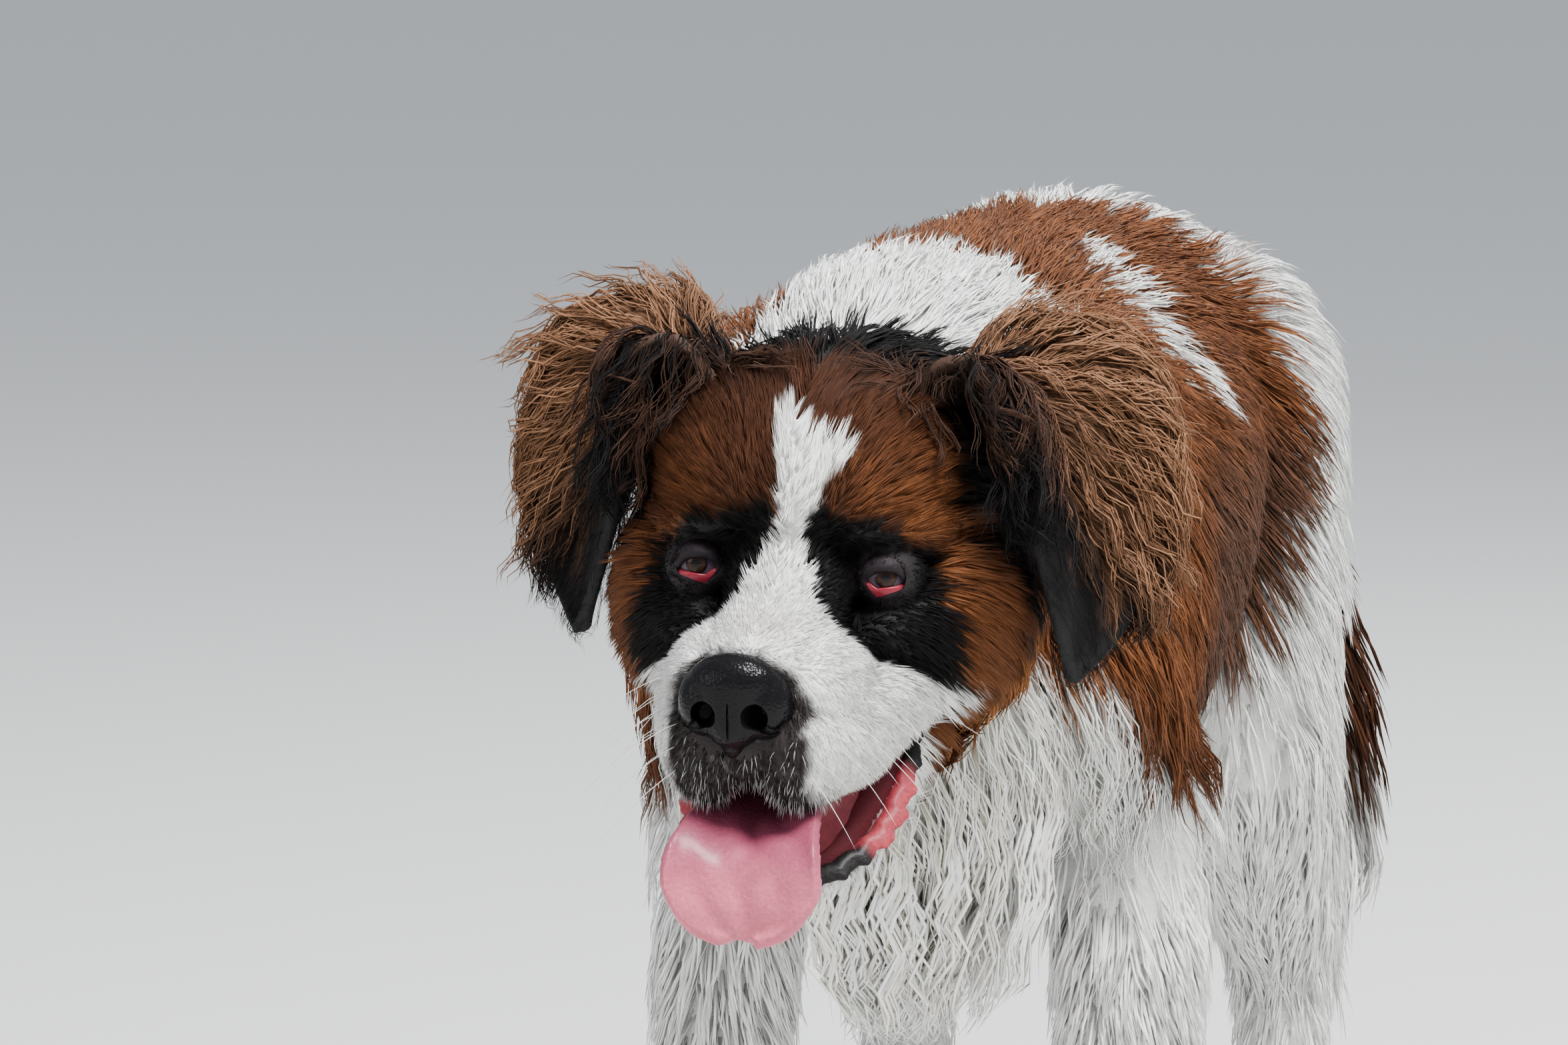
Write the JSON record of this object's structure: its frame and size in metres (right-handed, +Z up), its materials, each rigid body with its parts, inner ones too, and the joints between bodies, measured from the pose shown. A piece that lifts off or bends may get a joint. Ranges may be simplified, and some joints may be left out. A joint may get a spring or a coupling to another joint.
{
  "type": "saint bernard",
  "caption": "Long-haired giant dog standing with its head low, mouth open and tongue out, life size, coat parted into flat locks",
  "frame": {"origin": "on the floor under the middle of the dog's outline", "axes": "the dog faces -Y and its left side is +X; +Z is up"},
  "size_m": [0.4152, 1.4146, 0.7744],
  "materials": {
    "torso_coat": "rust-brown long hair",
    "neck_coat": "white long hair",
    "head_coat": "rust-brown short hair",
    "jaw_coat": "white and black short hair",
    "nose_leather": "wet black",
    "tongue_flesh": "wet pink",
    "eye_l_amber": "wet amber brown",
    "eye_r_amber": "wet amber brown",
    "ear_l_coat": "brown wavy hair",
    "ear_r_coat": "brown wavy hair",
    "foreleg_l_coat": "white hair",
    "foreleg_r_coat": "white hair",
    "hindleg_l_coat": "white long hair",
    "hindleg_r_coat": "white long hair",
    "tail_coat": "dark brown long hair"
  },
  "bodies": {
    "root": {"torso": "torso_coat", "neck": "neck_coat", "head": "head_coat", "lower_jaw": "jaw_coat", "nose": "nose_leather", "tongue": "tongue_flesh", "eye_l": "eye_l_amber", "eye_r": "eye_r_amber", "ear_l": "ear_l_coat", "ear_r": "ear_r_coat", "foreleg_l": "foreleg_l_coat", "foreleg_r": "foreleg_r_coat", "hindleg_l": "hindleg_l_coat", "hindleg_r": "hindleg_r_coat", "tail": "tail_coat"}
  },
  "joints": []
}
